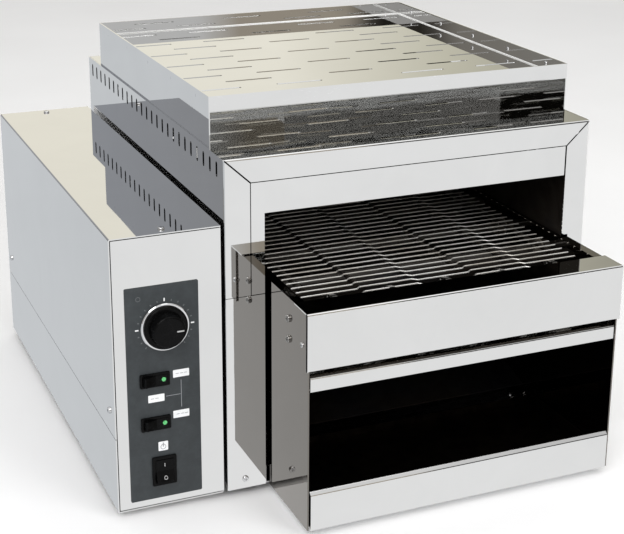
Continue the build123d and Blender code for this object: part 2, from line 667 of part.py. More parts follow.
def cable_gland():
    """Empty cable gland: flange, threaded neck and domed nut with a through hole."""
    y = DEPTH
    body = rod_y(10.0, y - SHEET - 8, y + 1, GLAND_X, GLAND_Z)
    body += Pos(GLAND_X, y, GLAND_Z) * Rot(-90, 0, 0) * extrude(RegularPolygon(14, 6), amount=5)
    dome = rod_y(11.5, y + 5, y + GLAND_OUT, GLAND_X, GLAND_Z)
    dome = fillet(dome.edges().sort_by(Axis.Y)[-1], 4)
    nut = Pos(GLAND_X, y - SHEET, GLAND_Z) * Rot(90, 0, 0) * extrude(RegularPolygon(14, 6), amount=4)
    return body + dome + nut - rod_y(4.5, y - 20, y + GLAND_OUT + 1, GLAND_X, GLAND_Z)


def fan_frame():
    """Square fan housing with a round duct and a three-spoke motor mount."""
    y0, y1 = DEPTH - SHEET - 25, DEPTH - SHEET
    frame = block(FAN_X - 40, FAN_X + 40, y0, y1, FAN_Z - 40, FAN_Z + 40)
    frame -= rod_y(37.5, y0 - 1, y1 + 1, FAN_X, FAN_Z)
    hub = rod_y(14, y0, y0 + 3, FAN_X, FAN_Z)
    for number in range(3):
        spoke = Pos(FAN_X, 0, FAN_Z) * Rot(0, number * 120 + 30, 0) * block(0, 38.5, y0, y0 + 3, -2, 2)
        hub += spoke
    return frame + hub + rod_y(2.0, y0 + 2, y1 - 4, FAN_X, FAN_Z)


def fan_rotor():
    """Hub with seven pitched blades."""
    y0, y1 = DEPTH - SHEET - 21, DEPTH - SHEET - 5
    rotor = rod_y(15, y0, y1, FAN_X, FAN_Z)
    blade = Pos(25.0, 0, 0) * Rot(38, 0, 0) * Box(22, 1.6, 17)
    for number in range(7):
        rotor += Pos(FAN_X, (y0 + y1) / 2, FAN_Z) * Rot(0, number * 360 / 7, 0) * blade
    return rotor - rod_y(2.0 + RUNNING, y0 - 1, y1 + 1, FAN_X, FAN_Z)


# ---- controls --------------------------------------------------------------------------
def control_overlay():
    """Plastic overlay stuck to the box front, open round the switches and the knob shaft."""
    x0, x1, low, high = OVERLAY
    centre = Pos((x0 + x1) / 2, 0, Z0 + (low + high) / 2)
    plate = centre * Rot(90, 0, 0) * extrude(RectangleRounded(x1 - x0, high - low, 1.5), amount=OVERLAY_T)
    return plate - control_holes(3)


KNOB_R = 22.4
GRIP_R = 17.0
RING_R = 24.8
RING_T = 1.6
KNOB_BACK = -OVERLAY_T - 0.8 - RING_T
KNOB_FRONT = KNOB_BACK - 15.0
STEM_R = 3.0


def speed_knob():
    """Knob with a round skirt and a fluted, tapered grip, and the stem it is pressed on."""
    height = KNOB_BACK - KNOB_FRONT
    grip = Cone(GRIP_R + 1.5, GRIP_R - 1.0, height, align=(Align.CENTER, Align.CENTER, Align.MIN))
    grip = fillet(grip.edges().sort_by(Axis.Z)[-1], 2.2)
    for number in range(20):
        angle = math.radians(9 + number * 18)
        place = Pos((GRIP_R + 1.9) * math.cos(angle), (GRIP_R + 1.9) * math.sin(angle), 12)
        grip -= place * Cylinder(1.5, 18)
    skirt = Cylinder(KNOB_R, 3.4, align=(Align.CENTER, Align.CENTER, Align.MIN))
    skirt = fillet(skirt.edges().sort_by(Axis.Z)[-1], 2.0)
    knob = Pos(KNOB_X, KNOB_BACK, Z0 + KNOB_H) * Rot(90, 0, 0) * (grip + skirt)
    stem = rod_y(STEM_R, KNOB_BACK - 9, 12, KNOB_X, Z0 + KNOB_H)
    return [knob - stem - knob_pointer(), stem]


def knob_pointer():
    """Groove for the pointer line in the knob's face, at three o'clock."""
    z = Z0 + KNOB_H
    return block(KNOB_X + 7, KNOB_X + 14.5, KNOB_FRONT - 1, KNOB_FRONT + 0.6, z - 0.9, z + 0.9)


def knob_ring():
    """Bright ring at the back of the knob."""
    ring = rod_y(RING_R, KNOB_BACK, KNOB_BACK + RING_T, KNOB_X, Z0 + KNOB_H)
    ring = chamfer(ring.edges().filter_by(GeomType.CIRCLE).sort_by(Axis.Y)[0], 0.8)
    return ring - rod_y(STEM_R, -10, 2, KNOB_X, Z0 + KNOB_H)


def potentiometer():
    """Speed potentiometer: bush through the panel and a can behind it."""
    z = Z0 + KNOB_H
    body = rod_y(4.9, -OVERLAY_T, SHEET + 1, KNOB_X, z) + rod_y(13, SHEET, SHEET + 12, KNOB_X, z)
    return body - rod_y(STEM_R + RUNNING, -3, 12.1, KNOB_X, z)


ROCKER_TILT = 12.0              # degrees each way from level
ROCKER_PIVOT = -0.5             # y of the pivot of every rocker
ROCKER_RISE = 5.2               # how far the ends stand out of the pivot
ROCKER_BACK = 4.5
ROCKER_GAP = 0.25
BEZEL_T = 1.8
SMALL_HOUSING = (27.8, 11.8)
MAIN_HOUSING = (20.4, 27.0)
HOUSING_WALL = 0.8


def switch(x, h, size, housing):
    """Bezel and housing of a rocker switch, with a pocket for the rocker and three blades."""
    z = Z0 + h
    bezel = Pos(x, -OVERLAY_T, z) * Rot(90, 0, 0) * extrude(RectangleRounded(*size, 1.2), amount=BEZEL_T)
    half_w, half_h = housing[0] / 2, housing[1] / 2
    body = bezel + block(x - half_w, x + half_w, -OVERLAY_T - 0.1, 24, z - half_h, z + half_h)
    half_w, half_h = half_w - HOUSING_WALL, half_h - HOUSING_WALL
    body -= block(x - half_w, x + half_w, -4, 10, z - half_h, z + half_h)
    upright = housing[1] > housing[0]
    for step in (-1, 0, 1):
        px, pz = (x, z + step * 8) if upright else (x + step * 7, z)
        body += block(px - 2.4, px + 2.4, 24, 31, pz - 0.4, pz + 0.4)
    return body


def switches():
    """The three switch housings with their bezels."""
    small = [switch(HEAT_SWITCH_X, h, SMALL_SWITCH, SMALL_HOUSING) for h in HEAT_SWITCH_H]
    return small + [switch(MAIN_SWITCH_X, MAIN_SWITCH_H, MAIN_SWITCH, MAIN_HOUSING)]


def rocker_blank(length, width):
    """Level rocker on the z axis: two faces that slope to the middle, and round ends."""
    reach = length / 2 - HOUSING_WALL - ROCKER_GAP
    end = reach + 3
    middle = ROCKER_RISE - reach * 0.92 * math.tan(math.radians(ROCKER_TILT))
    outer = middle + end * math.tan(math.radians(ROCKER_TILT))
    faces = [(end, -outer), (0, -middle), (-end, -outer)]
    side = Polyline((-end, ROCKER_BACK), (end, ROCKER_BACK), *faces, close=True)
    across = width - 2 * HOUSING_WALL - 2 * ROCKER_GAP
    return extrude(make_face(side) & Circle(reach), amount=across / 2, both=True)


LAMP_X = 8.0                    # lamp centre, right of the pivot
LAMP_R = 2.2


def lamp_blank(grow=0.0):
    """Round lens in the right half of a level small rocker."""
    middle = ROCKER_RISE - (SMALL_HOUSING[0] / 2 - 1) * 0.92 * math.tan(math.radians(ROCKER_TILT))
    face = middle + LAMP_X * math.tan(math.radians(ROCKER_TILT))
    return rod_y(LAMP_R, -face - 0.5 - grow, -face + 2.0, LAMP_X, 0)


def heat_rocker(h):
    """Rocker at rest with its lamp end pressed in."""
    level = rocker_blank(*SMALL_HOUSING) - lamp_blank(2.0)
    return Pos(HEAT_SWITCH_X, ROCKER_PIVOT, Z0 + h) * Rot(0, 0, ROCKER_TILT) * level


def heat_lamp(h):
    return Pos(HEAT_SWITCH_X, ROCKER_PIVOT, Z0 + h) * Rot(0, 0, ROCKER_TILT) * lamp_blank()


def main_rocker():
    """Upright rocker at rest with its upper end pressed in."""
    level = rocker_blank(MAIN_HOUSING[1], MAIN_HOUSING[0])
    turned = Rot(0, 90, 0) * Rot(0, 0, -ROCKER_TILT) * level
    return Pos(MAIN_SWITCH_X, ROCKER_PIVOT, Z0 + MAIN_SWITCH_H) * turned


# ---- electrical parts ------------------------------------------------------------------
def control_board():
    """Motor speed board on four spacers on the inner wall of the box."""
    x = BOX_W - SHEET
    board = block(x - 9.6, x - 8, 120, 220, Z0 + 150, Z0 + 230)
    for y in (127, 213):
        for z in (Z0 + 157, Z0 + 223):
            board += rod_x(3, x - 8.5, x, y, z)
    for y, z, h in ((150, 175, 22), (180, 178, 16), (200, 205, 12)):
        board += rod_x(8, x - 9.5 - h, x - 9, y, Z0 + z)
    return board + block(x - 26, x - 9, 135, 165, Z0 + 196, Z0 + 224)


def terminal_block():
    """Mains terminal block on the floor of the box."""
    z = Z0 + SHEET
    body = block(35, 75, 425, 447, z, z + 20)
    for number in range(4):
        body -= rod_z(2.6, z + 12, z + 22, 40 + number * 10, 436)
    return body



# ---- feet ------------------------------------------------------------------------------
def feet():
    """Rubber feet with a recess for the screw head."""
    pads = []
    for x, y in FEET:
        pad = Pos(x, y, FOOT_H / 2) * Cone(12, 14, FOOT_H)
        pad -= rod_z(6.5, -1, 4, x, y) + rod_z(2.6, 3, 9, x, y)
        pads.append(pad)
    return pads


def foot_screws():
    """Screws up through the feet, with nuts on the floor of the casing."""
    screws = []
    for x, y in FEET:
        screws.append(screw(x, y, 4, "-z", 5.6, 2.6, 2.5, 12))
        nut = Pos(x, y, Z0 + SHEET) * extrude(RegularPolygon(4.6, 6), amount=3.4)
        screws.append(nut - rod_z(2.5, Z0, Z0 + 6, x, y))
    return screws


# ---- rack ------------------------------------------------------------------------------
RX0, RX1 = XB + RACK_INSET, XR - RACK_INSET
RY0, RY1 = RACK_FRONT, RACK_FRONT + RACK_SIZE
RZ1 = Z0 + RACK_TOP
RIVETS = 5


def rack_walls():
    """The two side walls and the rear wall between them."""
    walls = [block(x, x + SHEET, RY0, RY1, TOP, RZ1) for x in (RX0, RX1 - SHEET)]
    return walls + [block(RX0 + SHEET, RX1 - SHEET, RY1 - SHEET, RY1, TOP, RZ1)]


def rack_front_rail():
    """Upright front edge with a fold that the shelf lies on."""
    outline = [(RY0, RZ1), (RY0, SHELF_Z - SHEET), (RY0 + 14, SHELF_Z - SHEET)]
    return sheet_x(outline, RX0 + SHEET, RX1 - SHEET)


def rack_shelf():
    """Flat shelf with staggered rows of slots and upturned edges along three walls."""
    x0, x1 = RX0 + SHEET, RX1 - SHEET
    y0, y1 = RY0 + SHEET + 1.0, RY1 - SHEET
    edge = RZ1 - 0.4
    shelf = block(x0, x1, y0, y1, SHELF_Z, SHELF_Z + 1)
    shelf += block(x0, x0 + 1, y0, y1, SHELF_Z, edge) + block(x1 - 1, x1, y0, y1, SHELF_Z, edge)
    shelf += block(x0, x1, y1 - 1, y1, SHELF_Z, edge)
    middle = (x0 + x1) / 2
    slots = []
    for row in range(SHELF_ROWS):
        y = RY0 + 25 + row * SHELF_PITCH
        offsets = (-166, -73.5, 73.5, 166) if row % 2 == 0 else (-120, 0, 120)
        for dx in offsets:
            slot = extrude(SlotOverall(*SHELF_SLOT), amount=2, both=True)
            slots.append(Pos(middle + dx, y, SHELF_Z) * slot)
    return shelf - slots - rivet_places(1.6)


def rivet_places(radius):
    """Shank cylinders of the rivets through the side walls and the shelf's edges."""
    places = []
    for number in range(RIVETS):
        y = RY0 + 40 + number * 82.5
        for x, way in ((RX0, 1), (RX1, -1)):
            places.append(rod_x(radius, x, x + way * (SHEET + 1), y, SHELF_Z + 8.5))
    return places


def rack_rivets():
    """Rivets with domed heads inside the rack."""
    rivets = []
    for number in range(RIVETS):
        y = RY0 + 40 + number * 82.5
        for x, turn in ((RX0 + SHEET + 1, 90), (RX1 - SHEET - 1, -90)):
            head = Cylinder(2.4, 0.9, align=(Align.CENTER, Align.CENTER, Align.MIN))
            head = fillet(head.edges().sort_by(Axis.Z)[-1], 0.7) + Pos(0, 0, -1.1) * Cylinder(1.6, 2.2)
            rivets.append(Pos(x, y, SHELF_Z + 8.5) * Rot(0, turn, 0) * head)
    return rivets


# ---- screws of the casings -------------------------------------------------------------
def casing_screws():
    """Pan-head screws of the control box, the oven body and the front cover."""
    screws = [screw(BOX_W / 2, y, BOX_TOP, "+z") for y in (12.4, DEPTH - 12)]
    screws += [screw(0, y, Z0 + 105, "-x") for y in (19.5, DEPTH - 19.5)]
    screws += [screw(x, 0, Z0 + 10.5, "-y") for x in (XB + 19.5, XR - 9.5)]
    screws += [screw(XR, y, Z0 + 11, "+x") for y in (60, 250, 450)]
    for x in (XB + 8, XR - 8):
        screws += [screw(x, DEPTH, Z0 + h, "+y") for h in (25, 185, BODY_H - 50)]
    y, z = COVER_SCREW
    screws.append(screw(XE0 - COVER_OUT, y, z, "-x", 2.6, 1.6, 1.5, 6))
    screws.append(screw(XE1 + COVER_OUT, y, z, "+x", 2.6, 1.6, 1.5, 6))
    return screws


def drill(shape, screws):
    """Cut the holes of screws out of a piece."""
    for item in screws:
        shape -= item
    return shape


# ---- write every sub-part ----------------------------------------------------------------
CASING = casing_screws()
BOLTS = bearing_bolts()
BEARINGS = [bearing(y, left) for y in (IDLER_Y, DRIVE_Y) for left in (True, False)]

save("floor_pan", drill(floor_pan(), CASING))
save("base_side_left", drill(base_side(True), CASING))
save("base_side_right", drill(base_side(False), CASING))
save("rear_panel", drill(rear_panel(), CASING))
save("upper_side_left", drill(upper_side(True), CASING))
save("upper_side_right", drill(upper_side(False), CASING))
save("top_panel", top_panel())
save("mouth_panel", mouth_panel())
save("feet", *feet())
save("foot_screws", *foot_screws())
save("casing_screws", *CASING)

save("tunnel_walls", tunnel_wall(True), tunnel_wall(False))
save("upper_reflector", upper_reflector())
save("lower_reflector", lower_reflector())
save("heat_shield", heat_shield())
save("upper_heating_tubes", *heating_tubes(UPPER_TUBE_Y, UPPER_TUBE_Z, LINER_X0, LINER_X1))
save("lower_heating_tubes", *heating_tubes(LOWER_TUBE_Y, LOWER_TUBE_Z, XE0, XE1))
UPPER_CAPS = tube_caps(UPPER_TUBE_Y, UPPER_TUBE_Z, LINER_X0, LINER_X1, LINER)
LOWER_CAPS = tube_caps(LOWER_TUBE_Y, LOWER_TUBE_Z, XE0, XE1, PLATE)
save("tube_end_caps", *UPPER_CAPS, *LOWER_CAPS)
save("exit_chute", exit_chute())
save("rear_deflector", rear_deflector())
save("collector_tray", collector_tray())

save("conveyor_frame_left", drill(conveyor_frame(True), BOLTS + CASING))
save("conveyor_frame_right", drill(conveyor_frame(False), BOLTS + CASING))
save("front_cover", drill(front_cover(), CASING))
save("chute_strip", chute_strip())
save("conveyor_belt", *conveyor_belt())
save("belt_support", *belt_support())
save("shaft_bearings", *[drill(item, BOLTS) for item in BEARINGS])
save("bearing_bolts", *BOLTS)
save("idler_shaft", shaft(IDLER_Y, XI0 + 2.2, XI1 - 2.2))
save("idler_sprockets", *shaft_set(IDLER_Y))
save("drive_shaft", shaft(DRIVE_Y, CHAIN_X - 8, XI1 - 2.2))
save("drive_sprockets", *shaft_set(DRIVE_Y), shaft_sprocket())
save("motor_sprocket", motor_sprocket())
save("drive_chain", *drive_chain())
save("gear_motor", gear_motor())

save("box_base", box_base())
save("box_cover", drill(box_cover(), CASING))
save("box_inner_wall", box_inner_wall())
save("box_front", drill(box_end_panel(True) - control_holes(3), CASING))
save("box_rear", drill(box_rear(), CASING))
save("cable_gland", cable_gland())
save("fan_frame", fan_frame())
save("fan_rotor", fan_rotor())
save("control_board", control_board())
save("terminal_block", terminal_block())
save("control_overlay", control_overlay())
save("switch_housings", *switches())
save("potentiometer", potentiometer())
save("speed_knob", *speed_knob())
save("knob_ring", knob_ring())
save("top_heat_rocker", heat_rocker(HEAT_SWITCH_H[0]))
save("top_heat_lamp", heat_lamp(HEAT_SWITCH_H[0]))
save("bottom_heat_rocker", heat_rocker(HEAT_SWITCH_H[1]))
save("bottom_heat_lamp", heat_lamp(HEAT_SWITCH_H[1]))
save("main_rocker", main_rocker())

save("rack_walls", *[drill(wall, rivet_places(1.6)) for wall in rack_walls()])
save("rack_front_rail", rack_front_rail())
save("rack_shelf", rack_shelf())
save("rack_rivets", *rack_rivets())
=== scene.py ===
import json
import math

import bmesh
import bpy
from mathutils import Matrix, Vector
from mathutils.bvhtree import BVHTree


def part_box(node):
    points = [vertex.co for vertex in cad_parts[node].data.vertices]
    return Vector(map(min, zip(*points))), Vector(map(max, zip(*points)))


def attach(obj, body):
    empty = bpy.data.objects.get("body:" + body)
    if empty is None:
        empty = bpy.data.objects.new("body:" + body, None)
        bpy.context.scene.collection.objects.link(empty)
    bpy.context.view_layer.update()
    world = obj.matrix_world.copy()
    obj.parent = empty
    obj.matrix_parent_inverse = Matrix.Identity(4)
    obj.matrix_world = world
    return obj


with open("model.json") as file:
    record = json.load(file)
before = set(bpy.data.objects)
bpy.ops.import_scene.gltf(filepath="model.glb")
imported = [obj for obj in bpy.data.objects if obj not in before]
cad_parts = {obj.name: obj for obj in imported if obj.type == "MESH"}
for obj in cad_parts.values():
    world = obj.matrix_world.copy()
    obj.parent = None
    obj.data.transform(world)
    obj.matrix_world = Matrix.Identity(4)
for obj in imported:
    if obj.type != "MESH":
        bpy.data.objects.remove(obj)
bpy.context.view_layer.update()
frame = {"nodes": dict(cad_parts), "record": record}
MM = 0.001


def put_in_scene(name, data):
    """A new object in the scene that shows the mesh, curve, light or camera."""
    thing = bpy.data.objects.new(name, data)
    bpy.context.scene.collection.objects.link(thing)
    return thing


# ---- camera ---------------------------------------------------------------------------
CAMERA_AT = (-0.5823, -1.4445, 0.7445)
CAMERA_RIGHT_OF_Y = math.radians(23.09)
CAMERA_DOWN = math.radians(17.55)
CAMERA_ROLL = math.radians(0.34)
CAMERA_LENS = 81.98             # millimetres, and so is the sensor's width
CAMERA_SENSOR = 36
CAMERA_SHIFT_Y = -0.120


def make_camera():
    """The photo's own view, solved from the object's straight edges."""
    aside, down, roll = CAMERA_RIGHT_OF_Y, CAMERA_DOWN, CAMERA_ROLL
    forward = Vector((math.sin(aside) * math.cos(down), math.cos(aside) * math.cos(down), -math.sin(down)))
    right = Vector((math.cos(aside), -math.sin(aside), 0))
    up = right.cross(forward)
    rolled = math.cos(roll) * right + math.sin(roll) * up
    upright = math.cos(roll) * up - math.sin(roll) * right
    data = bpy.data.cameras.new("camera")
    data.lens, data.sensor_width = CAMERA_LENS, CAMERA_SENSOR
    data.shift_y = CAMERA_SHIFT_Y
    data.clip_start, data.clip_end = 0.01, 50
    camera = put_in_scene("camera", data)
    turn = Matrix((rolled, upright, -forward)).transposed()
    camera.matrix_world = Matrix.Translation(CAMERA_AT) @ turn.to_4x4()
    bpy.context.scene.camera = camera


# ---- node helpers -----------------------------------------------------------------------
class Nodes:
    """A node tree, with short calls for the nodes used here."""

    def __init__(self, tree):
        self.tree = tree
        tree.nodes.clear()

    def add(self, kind, **values):
        node = self.tree.nodes.new(kind)
        for key, value in values.items():
            setattr(node, key, value)
        return node

    def link(self, start, end):
        self.tree.links.new(start, end)

    def feed(self, socket, value):
        """A socket takes a number, a colour or another node's output."""
        if isinstance(value, (int, float)):
            socket.default_value = value
        elif isinstance(value, tuple):
            socket.default_value = (*value, 1)
        else:
            self.link(value, socket)

    def split(self, vector):
        node = self.add("ShaderNodeSeparateXYZ")
        self.link(vector, node.inputs[0])
        return node.outputs

    def ramp(self, value, low, high, to_low=0.0, to_high=1.0):
        node = self.add("ShaderNodeMapRange")
        ends = (("From Min", low), ("From Max", high), ("To Min", to_low), ("To Max", to_high))
        for key, number in ends:
            node.inputs[key].default_value = number
        self.link(value, node.inputs["Value"])
        return node.outputs[0]

    def maths(self, operation, first, second):
        node = self.add("ShaderNodeMath", operation=operation)
        self.feed(node.inputs[0], first)
        self.feed(node.inputs[1], second)
        return node.outputs[0]

    def mix(self, amount, first, second, blend="MIX"):
        node = self.add("ShaderNodeMixRGB", blend_type=blend)
        for socket, value in zip(node.inputs, (amount, first, second)):
            self.feed(socket, value)
        return node.outputs[0]

    def colours(self, value, *stops):
        """Colour ramp from (position, (r, g, b)) stops."""
        node = self.add("ShaderNodeValToRGB")
        points = node.color_ramp.elements
        while len(points) < len(stops):
            points.new(0.5)
        for point, (position, colour) in zip(points, stops):
            point.position = position
            point.color = (*colour, 1)
        self.link(value, node.inputs[0])
        return node.outputs[0]


class Shader(Nodes):
    """A new material with one Principled shader, whose textures follow the object."""

    def __init__(self, name):
        self.material = bpy.data.materials.new(name)
        self.material.use_nodes = True
        super().__init__(self.material.node_tree)
        self.bsdf = self.add("ShaderNodeBsdfPrincipled")
        out = self.add("ShaderNodeOutputMaterial")
        self.link(self.bsdf.outputs[0], out.inputs[0])
        self.place = self.add("ShaderNodeTexCoord").outputs["Object"]

    def set(self, **values):
        """Constants on the shader's own sockets; underscores stand for spaces."""
        for key, value in values.items():
            self.bsdf.inputs[key.replace("_", " ")].default_value = value

    def stretched(self, scale):
        node = self.add("ShaderNodeMapping")
        node.inputs["Scale"].default_value = scale
        self.link(self.place, node.inputs["Vector"])
        return node.outputs[0]

    def noise(self, size, detail, roughness=0.5, stretch=None, distortion=0.0):
        """Noise whose features are about size metres across."""
        node = self.add("ShaderNodeTexNoise")
        node.inputs["Scale"].default_value = 1 / size
        node.inputs["Detail"].default_value = detail
        node.inputs["Roughness"].default_value = roughness
        node.inputs["Distortion"].default_value = distortion
        self.link(self.stretched(stretch) if stretch else self.place, node.inputs["Vector"])
        return node.outputs["Fac"]

    def cells(self, size):
        """Distance to the middle of cells that are about size metres across."""
        node = self.add("ShaderNodeTexVoronoi")
        node.inputs["Scale"].default_value = 1 / size
        self.link(self.place, node.inputs["Vector"])
        return node.outputs["Distance"]

    def colour(self, value):
        self.base = value
        self.link(value, self.bsdf.inputs["Base Color"])

    def rough(self, value):
        self.roughness = value
        self.link(value, self.bsdf.inputs["Roughness"])

    def bump(self, height, distance, strength=1.0, over=None):
        node = self.add("ShaderNodeBump")
        node.inputs["Distance"].default_value = distance
        node.inputs["Strength"].default_value = strength
        self.link(height, node.inputs["Height"])
        if over:
            self.link(over, node.inputs["Normal"])
        self.link(node.outputs[0], self.bsdf.inputs["Normal"])
        return node.outputs[0]


def darker(tone, share):
    """The tone at this share of its brightness."""
    return tuple(channel * share for channel in tone)


# ---- metals -----------------------------------------------------------------------------
MIRROR_TONE = (0.76, 0.76, 0.755)
# Painted shade: the side plates and the cover's returns are toned dark brown, standing in for the dark
# surroundings their mirror steel shows.
PAINTED_FRAME_SHADE = (0.215, 0.20, 0.183)       # the conveyor's side plates and the front cover's returns


def mirror_shader(name, tone=MIRROR_TONE, wave=1.0, base_rough=0.008):
    """Mirror-polished stainless sheet: faint waves, smears and hair scratches."""
    look = Shader(name)
    look.set(Metallic=1.0)
    smear = look.noise(0.09, 4, 0.62, distortion=0.8)
    look.colour(look.colours(smear, (0.3, darker(tone, 0.965)), (0.7, tone)))
    wipes = look.noise(0.0016, 2, 0.6, stretch=(1, 1, 0.03))
    marks = look.ramp(look.noise(0.035, 5, 0.7), 0.45, 0.8, 0.0, 0.03)
    wiped = look.ramp(wipes, 0.4, 0.75, 0.0, 0.012)
    look.rough(look.maths("ADD", look.maths("ADD", marks, base_rough), wiped))
    waves = look.bump(look.noise(0.11, 1, 0.4), 0.00012 * wave)
    look.bump(wipes, 0.000002, 0.5, over=waves)
    return look


def mirror_steel(*arguments):
    """The finished material of mirror_shader."""
    return mirror_shader(*arguments).material


FOLD_RADIUS = 0.0015


def cover_steel(name):
    """Mirror steel; behind its front face and under its ledge the cover carries painted shade, the side
    plates' dark brown tone.
    """
    low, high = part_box("front_cover")
    look = mirror_shader(name)
    _, y, z = look.split(look.place)
    # painted shade: a mask for the returns and the ledge's underside, which take the side plates' dark
    # tone
    behind = look.maths("GREATER_THAN", y, low[1] + FOLD_RADIUS)
    returns = look.maths("MULTIPLY", behind, look.maths("LESS_THAN", z, high[2] - FOLD_RADIUS))
    look.colour(look.mix(returns, look.base, PAINTED_FRAME_SHADE))
    return look.material


TRAY_LIP = 0.004                # the tray's front wall and hem stay bright
TRAY_BLEND = 0.002


def tray_steel(name):
    """Mirror steel outside; behind the front wall the inside carries painted shade, near-black in
    blotches.
    """
    inside_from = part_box("collector_tray")[0][1] + TRAY_LIP
    look = mirror_shader(name)
    wander = look.ramp(look.noise(0.01, 4), 0.3, 0.7, -0.001, 0.001)
    edge = look.maths("ADD", look.split(look.place)["Y"], wander)
    # painted shade: the inside behind the front wall turns near-black
    inside = look.ramp(edge, inside_from, inside_from + TRAY_BLEND)
    shade_blotches = look.noise(0.02, 5, 0.7)
    painted_shade = look.colours(shade_blotches, (0.35, (0.012, 0.009, 0.007)), (0.7, (0.055, 0.042, 0.032)))
    look.colour(look.mix(inside, look.base, painted_shade))
    look.rough(look.maths("ADD", look.roughness, look.maths("MULTIPLY", inside, 0.4)))
    return look.material


def brushed_steel(name, tone):
    """Satin sheet with a grain along the X axis."""
    look = Shader(name)
    look.set(Metallic=1.0, Anisotropic=0.4)
    grain = look.noise(0.0011, 3, 0.6, stretch=(0.02, 1, 1))
    cloud = look.noise(0.06, 4, 0.6)
    shade = look.maths("ADD", look.maths("MULTIPLY", grain, 0.6), look.maths("MULTIPLY", cloud, 0.4))
    look.colour(look.colours(shade, (0.3, darker(tone, 0.82)), (0.7, tone)))
    look.rough(look.ramp(grain, 0.3, 0.7, 0.21, 0.36))
    look.bump(grain, 0.00001, 0.6)
    return look.material


def shaded_baked_steel(name):
    """Oven interior: steel near-black as painted shade, blotched by heat and smoke, with straw and blue
    tints.
    """
    look = Shader(name)
    look.set(Metallic=0.85)
    soot = look.noise(0.05, 6, 0.65, distortion=1.2)
    tint = look.noise(0.16, 3, 0.5)
    # painted shade: very dark base tones, so the interior and the belt's supports read black
    brown, straw, blue = (0.030, 0.022, 0.016), (0.060, 0.050, 0.042), (0.036, 0.040, 0.052)
    patches = look.colours(tint, (0.30, brown), (0.52, straw), (0.72, blue))
    sooty = look.colours(soot, (0.35, (0.35, 0.33, 0.30)), (0.65, (1.0, 1.0, 1.0)))
    look.colour(look.mix(0.7, patches, sooty, "MULTIPLY"))
    look.rough(look.ramp(soot, 0.3, 0.7, 0.62, 0.38))
    look.bump(look.noise(0.0018, 3, 0.6), 0.00004, 0.5)
    return look.material


# Painted shade: a near-black tone for the belt's lower strand and the lower tubes under it.
PAINTED_SHADE_TONE = (0.05, 0.045, 0.04)
SHADE_BLEND = 0.012              # from the axle's height, up to unshaded wire and down to painted shade


def wire_steel(name):
    """Drawn wire with draw marks, dull and straw-coloured by heat; the strand below the axle is painted
    dark as shade.
    """
    low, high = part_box("idler_shaft")
    axle = (low[2] + high[2]) / 2
    look = Shader(name)
    look.set(Metallic=0.7)
    heat = look.noise(0.07, 3, 0.6)
    straw, grey, bright = (0.62, 0.58, 0.52), (0.80, 0.78, 0.74), (0.86, 0.85, 0.83)
    unshaded = look.colours(heat, (0.32, straw), (0.5, grey), (0.7, bright))
    upper = look.ramp(look.split(look.place)["Z"], axle - SHADE_BLEND, axle + SHADE_BLEND)
    # painted shade: below the axle the wire turns near-black
    look.colour(look.mix(upper, PAINTED_SHADE_TONE, unshaded))
    draw = look.noise(0.0005, 2, 0.6, stretch=(0.04, 1, 1))
    look.rough(look.ramp(draw, 0.3, 0.7, 0.14, 0.28))
    look.bump(draw, 0.00001, 0.5)
    return look.material


def turned_steel(name, tone=(0.56, 0.555, 0.54)):
    """Machined steel with fine tool rings round the X axis."""
    look = Shader(name)
    look.set(Metallic=1.0)
    rings = look.add("ShaderNodeTexWave", wave_type="BANDS", bands_direction="X")
    rings.inputs["Scale"].default_value = 420
    rings.inputs["Distortion"].default_value = 0.6
    look.link(look.place, rings.inputs["Vector"])
    stain = look.noise(0.012, 4, 0.6)
    look.colour(look.colours(stain, (0.3, darker(tone, 0.75)), (0.7, tone)))
    look.rough(look.ramp(stain, 0.3, 0.7, 0.32, 0.2))
    look.bump(rings.outputs["Fac"], 0.000012, 0.4)
    return look.material


def highlight_bead_finish(name):
    """Pale, matt bead finish that shows as a painted highlight line, with fine scratches in its tone."""
    look = Shader(name)
    look.set(Metallic=0.25)
    scratches = look.noise(0.0009, 3, 0.6)
    # painted highlight: near-white and barely metal, so the bead lights up as a bright line
    look.colour(look.colours(scratches, (0.3, (0.84, 0.84, 0.83)), (0.7, (0.95, 0.95, 0.94))))
    look.rough(look.ramp(scratches, 0.3, 0.7, 0.35, 0.5))
    look.bump(scratches, 0.00002, 0.5)
    return look.material


def oiled_chain(name):
    """Chain steel under a film of oil and grime."""
    look = Shader(name)
    look.set(Metallic=1.0, Coat_Weight=0.5, Coat_Roughness=0.12)
    grime = look.noise(0.004, 5, 0.65)
    look.colour(look.colours(grime, (0.36, (0.05, 0.042, 0.034)), (0.62, (0.32, 0.31, 0.3))))
    look.rough(look.ramp(grime, 0.3, 0.7, 0.5, 0.26))
    look.bump(grime, 0.00008, 0.5)
    return look.material


def screw_steel(name, tone=(0.76, 0.76, 0.77)):
    """Screw head: fine turning marks and soft wear."""
    look = Shader(name)
    look.set(Metallic=1.0)
    wear = look.noise(0.002, 4, 0.6)
    look.colour(look.colours(wear, (0.3, darker(tone, 0.72)), (0.7, tone)))
    look.rough(look.ramp(wear, 0.3, 0.7, 0.2, 0.09))
    look.bump(look.noise(0.0004, 2, 0.6), 0.000008, 0.5)
    return look.material


# ---- plastics, rubber, ceramic, glass -----------------------------------------------------
def moulded(name, tone, rough, texture=0.00025, depth=0.000012, shine=0.5):
    """Moulded plastic with a fine spark-eroded texture and a little dust in it."""
    look = Shader(name)
    look.set(Specular_IOR_Level=shine)
    dust = look.noise(0.008, 5, 0.65)
    light = tuple(channel * 1.3 + 0.001 for channel in tone)
    look.colour(look.colours(dust, (0.4, tone), (0.75, light)))
    look.rough(look.ramp(dust, 0.3, 0.7, rough - 0.06, rough + 0.08))
    look.bump(look.noise(texture, 2, 0.5), depth, 0.7)
    return look.material


